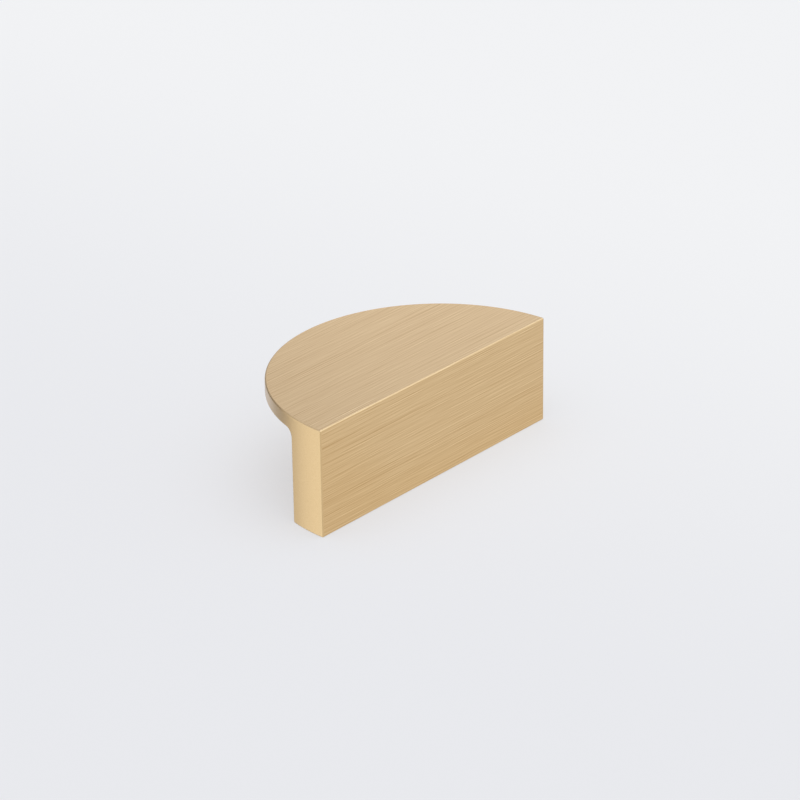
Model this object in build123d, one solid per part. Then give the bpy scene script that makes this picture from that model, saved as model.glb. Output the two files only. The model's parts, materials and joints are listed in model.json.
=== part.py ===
from build123d import *
import math
import os

# Half-moon cabinet pull, machined from one piece of brass: a half-disc plate on a leg under its straight edge.
# The leg stands on the cabinet front, screws from inside the cabinet hold it, and fingers hook under the plate.

# Frame, in millimetres: the origin is midway between the two screw holes, on the mounting face.
# +X runs along the straight edge, +Y points to the round rim, and +Z points away from the cabinet front.

# Body
disc_diameter = 80.0  # round blank that is cut in two
cut_loss = 0.5  # what the cut takes off each half, so the front is this far past the disc's middle
projection = 27.0  # from the mounting face to the plate's top
leg_thickness = 10.3
plate_thickness = 3.5
inner_radius = 2.0  # between the leg's back and the plate's underside
edge_radius = 0.4  # on every outer edge

# Screw holes in the leg's foot, tapped M4
hole_spacing = 64.0
thread_diameter = 4.0
thread_pitch = 0.7
thread_depth = 10.0
drill_runout = 3.0  # plain drilled depth beyond the thread
drill_point_angle = 118.0
mouth_chamfer = 0.3

# Cutters start this far outside the body
cut_margin = 2.0

# Places that follow from the sizes above
disc_radius = disc_diameter / 2
front_y = -leg_thickness / 2
disc_middle_y = front_y - cut_loss
leg_back_y = leg_thickness / 2
underside_z = projection - plate_thickness


def half_disc_blank():
    """The half disc at the pull's full height, flat side in front."""
    start_angle = math.degrees(math.asin(cut_loss / disc_radius))
    with BuildPart() as blank:
        with BuildSketch():
            with BuildLine():
                rim = CenterArc((0, disc_middle_y), disc_radius, start_angle, 180 - 2 * start_angle)
                Line(rim @ 1, rim @ 0)
            make_face()
        extrude(amount=projection)
    return blank.part


def finger_space():
    """The room milled out behind the leg and under the plate, with a rounded inner corner."""
    depth = disc_radius - cut_loss - leg_thickness + cut_margin
    height = underside_z + cut_margin
    with BuildPart() as space:
        # In this sketch X is depth and Y is height
        with BuildSketch(Plane.YZ) as profile:
            with Locations((leg_back_y, -cut_margin)):
                Rectangle(depth, height, align=(Align.MIN, Align.MIN))
            inner_corner = profile.vertices().group_by(Axis.X)[0].sort_by(Axis.Y)[-1]
            fillet(inner_corner, inner_radius)
        extrude(amount=disc_radius + cut_margin, both=True)
    return space.part


def tapped_hole():
    """A blind hole at the thread's full diameter: chamfered mouth, threaded bore, then the drill's plain end."""
    bore_radius = thread_diameter / 2
    drill_radius = (thread_diameter - thread_pitch) / 2
    drill_depth = thread_depth + drill_runout
    point_height = drill_radius / math.tan(math.radians(drill_point_angle / 2))
    with BuildPart() as hole:
        with BuildSketch(Plane.XZ):
            with BuildLine():
                Polyline(
                    (0, 0),
                    (bore_radius + mouth_chamfer, 0),
                    (bore_radius, mouth_chamfer),
                    (bore_radius, thread_depth),
                    (drill_radius, thread_depth),
                    (drill_radius, drill_depth),
                    (0, drill_depth + point_height),
                    close=True,
                )
            make_face()
        revolve(axis=Axis.Z)
    return hole.part


def half_moon_pull():
    """The whole pull: blank less finger space, outer edges broken, then the two screw holes."""
    body = half_disc_blank() - finger_space()
    inner_lines = body.edges().filter_by(Axis.X).filter_by_position(
        Axis.Z, underside_z - inner_radius - edge_radius, underside_z + edge_radius
    )
    body = fillet(body.edges() - inner_lines, edge_radius)
    for x in (-hole_spacing / 2, hole_spacing / 2):
        body = body - Pos(x, 0, 0) * tapped_hole()
    return body


os.makedirs("parts", exist_ok=True)
export_step(half_moon_pull(), "parts/half_moon_pull.step")
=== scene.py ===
import json
import math

import bpy
from mathutils import Matrix, Vector


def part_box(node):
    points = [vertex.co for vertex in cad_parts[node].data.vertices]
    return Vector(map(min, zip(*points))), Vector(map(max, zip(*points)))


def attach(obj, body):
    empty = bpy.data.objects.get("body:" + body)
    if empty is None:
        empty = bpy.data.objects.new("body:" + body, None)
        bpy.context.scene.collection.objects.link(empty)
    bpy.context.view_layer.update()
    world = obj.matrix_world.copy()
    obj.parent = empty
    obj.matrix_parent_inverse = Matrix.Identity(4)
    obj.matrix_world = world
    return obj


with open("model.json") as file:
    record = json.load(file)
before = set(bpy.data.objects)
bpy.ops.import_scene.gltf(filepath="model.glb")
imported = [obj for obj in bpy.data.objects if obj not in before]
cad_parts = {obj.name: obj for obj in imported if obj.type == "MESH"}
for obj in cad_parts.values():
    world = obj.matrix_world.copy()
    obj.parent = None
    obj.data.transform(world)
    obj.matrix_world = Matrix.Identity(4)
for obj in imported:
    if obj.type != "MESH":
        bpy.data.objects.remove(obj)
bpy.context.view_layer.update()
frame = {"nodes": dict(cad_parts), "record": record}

# The pull, from its packed box and record, in metres
PULL = "half_moon_pull"
BODY = "root"
box_low, box_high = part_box(PULL)
PULL_DEPTH = box_high.y - box_low.y
DISC_RADIUS = (box_high.x ** 2 + PULL_DEPTH ** 2) / (2 * PULL_DEPTH)
DISC_MIDDLE_Y = box_high.y - DISC_RADIUS
HOLES = next(m for m in frame["record"]["mounts"] if m["name"] == "screw_holes")
HOLE_SPACING = HOLES["dims"]["spacing_x_mm"] / 1000
HOLE_RADIUS = HOLES["dims"]["hole_r_mm"] / 1000

# Screw threads in the holes, M4 coarse: the ridge runs from the mouth's chamfer to the thread's end,
# and its root sits a little way into the hole's wall
THREAD_PITCH = 0.0007
THREAD_FROM = 0.0003
THREAD_TO = 0.01
THREAD_FLANK = math.radians(30)
THREAD_HEIGHT = THREAD_PITCH / 2
THREAD_ROOT_WIDTH = THREAD_PITCH * 7 / 8
THREAD_CREST_WIDTH = THREAD_ROOT_WIDTH - 2 * THREAD_HEIGHT * math.tan(THREAD_FLANK)
THREAD_SEAT = 0.00005
THREAD_STEPS = 36

# Camera, at the photograph's angle
VIEW_AZIMUTH = math.radians(-48.762)
VIEW_ELEVATION = math.radians(25.506)
VIEW_ROLL = math.radians(0.855)
VIEW_DISTANCE = 0.82
VIEW_AIM = Vector((0.00282, 0.0085, 0.01479))
LENS_MM = 156.61
SENSOR_MM = 36.0

# Floor, whose colour is painted lighter along +X as if more light fell there, and which gives this share of
# its light by itself, so that shadows stay pale
FLOOR_SIZE = 6.0
FLOOR_NEAR = (0.814, 0.822, 0.854, 1.0)
FLOOR_FAR = (0.889, 0.896, 0.913, 1.0)
FLOOR_FADE_FROM = -0.075
FLOOR_FADE_TO = 0.2
FLOOR_GLOW = 0.59

# Light on the floor: a dome that is brightest overhead and gives open floor a light of about 1
DOME_AIM = Vector((-0.1, -0.12, 1.0)).normalized()
DOME_POWER = 4.0
DOME_EVEN = 0.39
DOME_PEAK = (1 - DOME_EVEN) * (DOME_POWER + 2) / 2
BACKDROP_COLOUR = (0.87, 0.875, 0.9, 1.0)

# Rays that the brass reflects see a room instead: the ground, a ring of walls, a ceiling and a softbox.
# Light that is sampled directly still comes from the dome, so the brass shows a mix of the two.
# Wall and ground colours go by degrees from +X.
WALL_COLOURS = [
    (-180, (1.08, 1.12, 1.23)),
    (-150, (0.75, 0.76, 0.82)),
    (-90, (0.72, 0.72, 0.76)),
    (-41, (0.795, 0.785, 0.805)),
    (0, (0.6, 0.62, 0.74)),
    (41, (0.5, 0.52, 0.65)),
    (60, (0.3, 0.3, 0.33)),
    (74, (0.12, 0.12, 0.13)),
    (102, (0.12, 0.12, 0.13)),
    (112, (1.06, 1.09, 1.19)),
    (140, (1.08, 1.13, 1.26)),
    (180, (1.08, 1.12, 1.23)),
]
GROUND_COLOURS = [
    (-180, (1.08, 1.12, 1.23)),
    (-150, (0.75, 0.76, 0.82)),
    (-90, (0.72, 0.72, 0.76)),
    (-41, (0.785, 0.745, 0.73)),
    (0, (0.6, 0.62, 0.74)),
    (41, (0.5, 0.52, 0.65)),
    (74, (0.95, 1.07, 1.4)),
    (88, (0.35, 0.36, 0.42)),
    (102, (0.14, 0.13, 0.14)),
    (112, (1.06, 1.09, 1.19)),
    (140, (1.08, 1.13, 1.26)),
    (180, (1.08, 1.12, 1.23)),
]
HORIZON_FROM = 0.0
HORIZON_FULL = 0.1
CEILING_COLOUR = (0.58, 0.605, 0.785, 1.0)
CEILING_FROM = 0.42
CEILING_FULL = 0.6
SOFTBOX_AIM = Vector((0.2, -0.35, 0.9)).normalized()
SOFTBOX_COLOUR = (1.3, 1.4, 1.7, 1.0)
SOFTBOX_FROM = 0.6
SOFTBOX_FULL = 0.85

# Two panels near the pull, which show only in its reflections: one behind it lights the back of the top
# more than its front, and one on the floor before it lights the upper front more than the lower
BACK_AZIMUTH = math.radians(40)
BACK_ELEVATION = math.radians(10)
BACK_DISTANCE = 0.4
BACK_SIZE = (0.16, 0.16)
BACK_GLOW = (0.8, 0.8, 0.8)
FRONT_MIDDLE = Vector((0.075, -0.0525, 0.0005))
FRONT_SIZE = (0.16, 0.075)
FRONT_GLOW = (0.03, 0.07, 0.16)

# Brass: the two colours that its relief mixes about an even tone, and its gloss
BRASS_DARK = (0.5, 0.272, 0.072, 1.0)
BRASS_LIGHT = (1.0, 0.777, 0.433, 1.0)
BRASS_EVEN = 0.6
BRASS_ROUGHNESS = 0.42
ROUGHNESS_SPREAD = 0.1
BRASS_ANISOTROPY = 0.6
BUMP_HEIGHT = 0.00001

# Brush strokes along X, each kind with its length, width, share of the relief and noise seed
STROKES = [
    (0.014, 0.00008, 0.3, 9000.0),
    (0.012, 0.00025, 0.52, 1000.0),
    (0.04, 0.00025, 0.22, 3000.0),
    (0.12, 0.0003, 0.06, 5000.0),
]

# A stroke is a row of noise less a share of the rows beside it. Rows are this many noise cells apart,
# and the drift makes them uneven in width.
LINE_SHARES = (-0.35, 1.0, -0.35)
LINE_SPACING = 3.0
LINE_DRIFT = 0.8
DRIFT_SCALE = 0.4

# Sparse dark scratches, where single rows of noise are at their highest
SCRATCH_LENGTH = 0.15
SCRATCH_WIDTH = 0.0002
SCRATCH_SEED = 7000.0
SCRATCH_FROM = 0.2
SCRATCH_FULL = 0.25
SCRATCH_DEPTH = 0.16

# Level faces, found by how upright the normal is, have wider and fainter strokes
LEVEL_FROM = 0.9
LEVEL_FULL = 0.98
LEVEL_WIDER = 0.2
LEVEL_FAINTER = 0.18

# The round rim and ends, found by the distance from the disc's middle, have a fine grain
# instead of strokes
RIM_FROM = DISC_RADIUS - 0.0007
RIM_FULL = DISC_RADIUS - 0.0003
GRAIN_SIZE = 0.00025
GRAIN_SEED = 5.0
GRAIN_DEPTH = 0.4

# The front's long edges carry a painted highlight along with burnish: a lighter tone where the normal leans
# both forwards and up or down
EDGE_FROM = 0.1
EDGE_FULL = 0.4
PAINTED_EDGE_HIGHLIGHT = 0.13


def new_material(name):
    """An empty node material and its tree."""
    material = bpy.data.materials.new(name)
    material.use_nodes = True
    material.node_tree.nodes.clear()
    return material, material.node_tree


def node(tree, kind, settings=None, **inputs):
    """A new node with its own settings, and its inputs by name or place, each a value or a socket."""
    made = tree.nodes.new(kind)
    for name, value in (settings or {}).items():
        setattr(made, name, value)
    for name, value in inputs.items():
        key = int(name[1:]) if name[0] == "_" else name.replace("_", " ")
        socket = made.inputs[key]
        if isinstance(value, bpy.types.NodeSocket):
            tree.links.new(value, socket)
        else:
            socket.default_value = value
    return made


def calc(tree, operation, first, second=0.0, third=0.0):
    """A math node's result."""
    made = node(tree, "ShaderNodeMath", {"operation": operation}, _0=first, _1=second, _2=third)
    return made.outputs[0]


def parts_of(tree, vector):
    """A vector's X, Y and Z."""
    return node(tree, "ShaderNodeSeparateXYZ", None, Vector=vector).outputs


def dot(tree, first, second):
    """The dot product of two vectors."""
    made = node(tree, "ShaderNodeVectorMath", {"operation": "DOT_PRODUCT"}, _0=first, _1=second)
    return made.outputs["Value"]


def mix(tree, share, first, second):
    """The first colour where the share is 0, the second where it is 1."""
    made = node(tree, "ShaderNodeMix", {"data_type": "RGBA"}, _0=share, _6=first, _7=second)
    return made.outputs[2]


def fade(tree, value, start, end):
    """A smooth step from 0 at start to 1 at end."""
    made = node(
        tree, "ShaderNodeMapRange", {"interpolation_type": "SMOOTHSTEP"},
        Value=value, From_Min=start, From_Max=end,
    )
    return made.outputs[0]


def speckle(tree, place, size, seed):
    """Noise about 0, in grains of about this size."""
    spread = (1 / size, 1 / size, 1 / size)
    drawn = node(tree, "ShaderNodeVectorMath", {"operation": "MULTIPLY"}, _0=place, _1=spread)
    noise = node(
        tree, "ShaderNodeTexNoise", {"noise_dimensions": "4D"},
        Vector=drawn.outputs[0], W=seed, Scale=1.0, Detail=2.0, Roughness=0.6,
    )
    return calc(tree, "SUBTRACT", noise.outputs["Fac"], 0.5)


def hairlines(tree, along, across, length, width, seed, shares=LINE_SHARES):
    """Noise about 0, in rows of about this width that change over this length; shares weigh neighbours."""
    run = calc(tree, "DIVIDE", along, length)
    step = calc(tree, "DIVIDE", across, width)
    drift = node(
        tree, "ShaderNodeTexNoise", {"noise_dimensions": "1D"},
        W=step, Scale=DRIFT_SCALE, Detail=0.0,
    )
    row = calc(tree, "FLOOR", calc(tree, "MULTIPLY_ADD", drift.outputs["Fac"], LINE_DRIFT, step))
    total = -0.5 * sum(shares)
    for place, share in enumerate(shares):
        # Whole noise cells lie between rows, and 0.5 keeps each row in the middle of its cell
        first_cell = LINE_SPACING * place + seed + 0.5
        cell = calc(tree, "MULTIPLY_ADD", row, LINE_SPACING, first_cell)
        spot = node(tree, "ShaderNodeCombineXYZ", None, X=run, Y=cell).outputs[0]
        noise = node(
            tree, "ShaderNodeTexNoise", {"noise_dimensions": "2D"},
            Vector=spot, Scale=1.0, Detail=1.0, Roughness=0.5,
        )
        total = calc(tree, "MULTIPLY_ADD", noise.outputs["Fac"], share, total)
    return total


def brushed_brass():
    """Satin brass, brushed along X on its flat faces and fine-grained on the round rim and ends."""
    material, tree = new_material("brushed_brass_finish")
    coordinates = node(tree, "ShaderNodeTexCoord").outputs
    place = coordinates["Object"]
    at = parts_of(tree, place)
    normal = parts_of(tree, coordinates["Normal"])
    upright = calc(tree, "ABSOLUTE", normal["Z"])
    level = fade(tree, upright, LEVEL_FROM, LEVEL_FULL)
    depth = calc(tree, "SUBTRACT", at["Y"], DISC_MIDDLE_Y)
    depth_squared = calc(tree, "MULTIPLY", depth, depth)
    radius = calc(tree, "SQRT", calc(tree, "MULTIPLY_ADD", at["X"], at["X"], depth_squared))
    rim = fade(tree, radius, RIM_FROM, RIM_FULL)
    flat = calc(tree, "SUBTRACT", 1.0, rim)

    # Strokes and scratches, on the flat faces
    wider = calc(tree, "MULTIPLY_ADD", level, -LEVEL_WIDER, 1.0)
    fainter = calc(tree, "MULTIPLY_ADD", level, -LEVEL_FAINTER, 1.0)
    across = calc(tree, "MULTIPLY_ADD", at["Y"], wider, at["Z"])
    strokes = 0.0
    for length, width, share, seed in STROKES:
        lines = hairlines(tree, at["X"], across, length, width, seed)
        strokes = calc(tree, "MULTIPLY_ADD", lines, share, strokes)
    strokes = calc(tree, "MULTIPLY", strokes, fainter)
    lines = hairlines(tree, at["X"], across, SCRATCH_LENGTH, SCRATCH_WIDTH, SCRATCH_SEED, shares=(1.0,))
    scratch = fade(tree, lines, SCRATCH_FROM, SCRATCH_FULL)
    strokes = calc(tree, "MULTIPLY_ADD", scratch, -SCRATCH_DEPTH, strokes)
    strokes = calc(tree, "MULTIPLY", strokes, flat)

    # Fine grain, on the rim and ends
    grain = speckle(tree, place, GRAIN_SIZE, GRAIN_SEED)
    grain = calc(tree, "MULTIPLY", grain, calc(tree, "MULTIPLY", rim, GRAIN_DEPTH))
    relief = calc(tree, "ADD", strokes, grain)

    # Painted highlight and burnish, on the front's long edges
    forwards = calc(tree, "MAXIMUM", calc(tree, "MULTIPLY", normal["Y"], -1.0), 0.0)
    highlight_edge = fade(tree, calc(tree, "MULTIPLY", forwards, upright), EDGE_FROM, EDGE_FULL)

    # The tone is raised on the front's long edges, a painted highlight
    tone = calc(tree, "MULTIPLY_ADD", highlight_edge, PAINTED_EDGE_HIGHLIGHT, calc(tree, "ADD", relief, BRASS_EVEN))
    colour = mix(tree, tone, BRASS_DARK, BRASS_LIGHT)
    rough = calc(tree, "MULTIPLY_ADD", relief, ROUGHNESS_SPREAD, BRASS_ROUGHNESS)
    bump = node(tree, "ShaderNodeBump", None, Strength=1.0, Distance=BUMP_HEIGHT, Height=relief)
    # The tangent lies across the strokes: along Z on upright faces, along Y on level ones
    tangent = node(
        tree, "ShaderNodeMix", {"data_type": "VECTOR"},
        _0=level, _4=(0.0, 0.0, 1.0), _5=(0.0, 1.0, 0.0),
    )
    shader = node(
        tree, "ShaderNodeBsdfPrincipled", None,
        Base_Color=colour, Metallic=1.0, Roughness=rough, Anisotropic=BRASS_ANISOTROPY,
        Tangent=tangent.outputs[1], Normal=bump.outputs[0],
    )
    node(tree, "ShaderNodeOutputMaterial", None, Surface=shader.outputs[0])
    return material


def screw_thread(name, hole_x, material):
    """The thread in one hole: a right-hand ridge with its root in the wall, a little lower at both ends."""
    first = THREAD_FROM + THREAD_ROOT_WIDTH / 2
    last = THREAD_TO - THREAD_ROOT_WIDTH / 2
    count = round((last - first) / THREAD_PITCH * THREAD_STEPS)
    root = HOLE_RADIUS + THREAD_SEAT
    corners = []
    for step in range(count + 1):
        # Seen from the mouth, a right-hand thread goes deeper as it turns clockwise,
        # which is +angle about +Z
        angle = 2 * math.pi * step / THREAD_STEPS
        middle = first + (last - first) * step / count
        height = min(THREAD_HEIGHT, middle - THREAD_FROM, THREAD_TO - middle)
        crest = HOLE_RADIUS - height
        for radius, shift in (
            (root, -THREAD_ROOT_WIDTH / 2),
            (crest, -THREAD_CREST_WIDTH / 2),
            (crest, THREAD_CREST_WIDTH / 2),
            (root, THREAD_ROOT_WIDTH / 2),
        ):
            corners.append((hole_x + radius * math.cos(angle), radius * math.sin(angle), middle + shift))
    sides = []
    for start in range(0, 4 * count, 4):
        for corner in range(4):
            beside = (corner + 1) % 4
            sides.append((start + corner, start + beside, start + 4 + beside, start + 4 + corner))
    ends = [(3, 2, 1, 0), tuple(range(4 * count, 4 * count + 4))]
    mesh = bpy.data.meshes.new(name)
    mesh.from_pydata(corners, [], sides + ends)
    mesh.materials.append(material)
    thread = bpy.data.objects.new(name, mesh)
    bpy.context.scene.collection.objects.link(thread)
    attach(thread, BODY)


def pale_floor():
    """A plain pale floor under the pull; in reflections the room's ground stands for it."""
    half = FLOOR_SIZE / 2
    mesh = bpy.data.meshes.new("floor")
    corners = [(-half, -half, 0), (half, -half, 0), (half, half, 0), (-half, half, 0)]
    mesh.from_pydata(corners, [], [(0, 1, 2, 3)])
    floor = bpy.data.objects.new("floor", mesh)
    bpy.context.scene.collection.objects.link(floor)
    floor.visible_glossy = False
    material, tree = new_material("pale_floor")
    place = node(tree, "ShaderNodeTexCoord").outputs["Object"]
    # Painted light: the floor's colour grows lighter along +X
    far = fade(tree, parts_of(tree, place)["X"], FLOOR_FADE_FROM, FLOOR_FADE_TO)
    colour = mix(tree, far, FLOOR_NEAR, FLOOR_FAR)
    matt = node(tree, "ShaderNodeBsdfDiffuse", None, Color=colour)
    glow = node(tree, "ShaderNodeEmission", None, Color=colour, Strength=1.0)
    both = node(tree, "ShaderNodeMixShader", None, _0=FLOOR_GLOW, _1=matt.outputs[0], _2=glow.outputs[0])
    node(tree, "ShaderNodeOutputMaterial", None, Surface=both.outputs[0])
    mesh.materials.append(material)


def ring(tree, turn, stops):
    """Colours around the horizon from (degrees, colour) stops; turn is 0 at -180 degrees, 1 at 180."""
    made = node(tree, "ShaderNodeValToRGB", None, Fac=turn)
    elements = made.color_ramp.elements
    while len(elements) < len(stops):
        elements.new(1.0)
    for element, (degrees, colour) in zip(elements, stops):
        element.position = (degrees + 180) / 360
        element.color = (*colour, 1.0)
    return made.outputs[0]


def soft_light():
    """Soft studio light: a dome, a room for reflected rays and a plain backdrop for the camera."""
    world = bpy.data.worlds.new("soft_light")
    bpy.context.scene.world = world
    world.use_nodes = True
    tree = world.node_tree
    tree.nodes.clear()
    direction = node(tree, "ShaderNodeTexCoord").outputs["Generated"]
    parts = parts_of(tree, direction)

    # The room, from the ground up
    angle = calc(tree, "ARCTAN2", parts["Y"], parts["X"])
    turn = calc(tree, "MULTIPLY_ADD", angle, 0.5 / math.pi, 0.5)
    ground = ring(tree, turn, GROUND_COLOURS)
    walls = ring(tree, turn, WALL_COLOURS)
    room = mix(tree, fade(tree, parts["Z"], HORIZON_FROM, HORIZON_FULL), ground, walls)
    room = mix(tree, fade(tree, parts["Z"], CEILING_FROM, CEILING_FULL), room, CEILING_COLOUR)
    towards_softbox = dot(tree, direction, SOFTBOX_AIM)
    room = mix(tree, fade(tree, towards_softbox, SOFTBOX_FROM, SOFTBOX_FULL), room, SOFTBOX_COLOUR)

    # The dome
    upward = calc(tree, "MAXIMUM", dot(tree, direction, DOME_AIM), 0.0)
    bright = calc(tree, "POWER", upward, DOME_POWER)
    dome = calc(tree, "MULTIPLY_ADD", bright, DOME_PEAK, DOME_EVEN)

    ray = node(tree, "ShaderNodeLightPath").outputs
    plain = mix(tree, ray["Is Camera Ray"], dome, BACKDROP_COLOUR)
    light = mix(tree, ray["Is Glossy Ray"], plain, room)
    shade = node(tree, "ShaderNodeBackground", None, Color=light, Strength=1.0)
    node(tree, "ShaderNodeOutputWorld", None, Surface=shade.outputs[0])


def panel(name, middle, away, size, glow):
    """A flat light with its back to this direction, of this radiance, which shows only in reflections."""
    light = bpy.data.lights.new(name, "AREA")
    light.shape = "RECTANGLE"
    light.size, light.size_y = size
    light.color = glow
    # With this power the radiance is the colour itself
    light.energy = math.pi * size[0] * size[1]
    made = bpy.data.objects.new(name, light)
    made.matrix_world = Matrix.Translation(middle) @ away.to_track_quat("Z", "Y").to_matrix().to_4x4()
    made.visible_camera = False
    made.visible_diffuse = False
    bpy.context.scene.collection.objects.link(made)


def near_panels():
    """The panels behind and before the pull."""
    level = math.cos(BACK_ELEVATION)
    away = Vector((
        math.cos(BACK_AZIMUTH) * level,
        math.sin(BACK_AZIMUTH) * level,
        math.sin(BACK_ELEVATION),
    ))
    middle_of_top = Vector((0, (box_low.y + box_high.y) / 2, box_high.z))
    panel("back_panel", middle_of_top + BACK_DISTANCE * away, away, BACK_SIZE, BACK_GLOW)
    panel("front_panel", FRONT_MIDDLE, Vector((0, 0, -1)), FRONT_SIZE, FRONT_GLOW)


def photo_camera():
    """The camera at the photograph's angle, tilted a little about its own axis."""
    level = math.cos(VIEW_ELEVATION)
    back = Vector((
        math.sin(VIEW_AZIMUTH) * level,
        -math.cos(VIEW_AZIMUTH) * level,
        math.sin(VIEW_ELEVATION),
    ))
    right = Vector((0, 0, 1)).cross(back).normalized()
    up = back.cross(right)
    tilted_right = math.cos(VIEW_ROLL) * right - math.sin(VIEW_ROLL) * up
    tilted_up = math.sin(VIEW_ROLL) * right + math.cos(VIEW_ROLL) * up
    camera = bpy.data.objects.new("camera", bpy.data.cameras.new("camera"))
    camera.data.lens = LENS_MM
    camera.data.sensor_width = SENSOR_MM
    turn = Matrix((tilted_right, tilted_up, back)).transposed().to_4x4()
    camera.matrix_world = Matrix.Translation(VIEW_AIM + VIEW_DISTANCE * back) @ turn
    bpy.context.scene.collection.objects.link(camera)
    bpy.context.scene.camera = camera


pull = frame["nodes"][PULL]
brass = brushed_brass()
pull.material_slots[0].material = brass
screw_thread("left_thread", -HOLE_SPACING / 2, brass)
screw_thread("right_thread", HOLE_SPACING / 2, brass)

pale_floor()
soft_light()
near_panels()
photo_camera()
bpy.context.scene.view_settings.view_transform = "Standard"
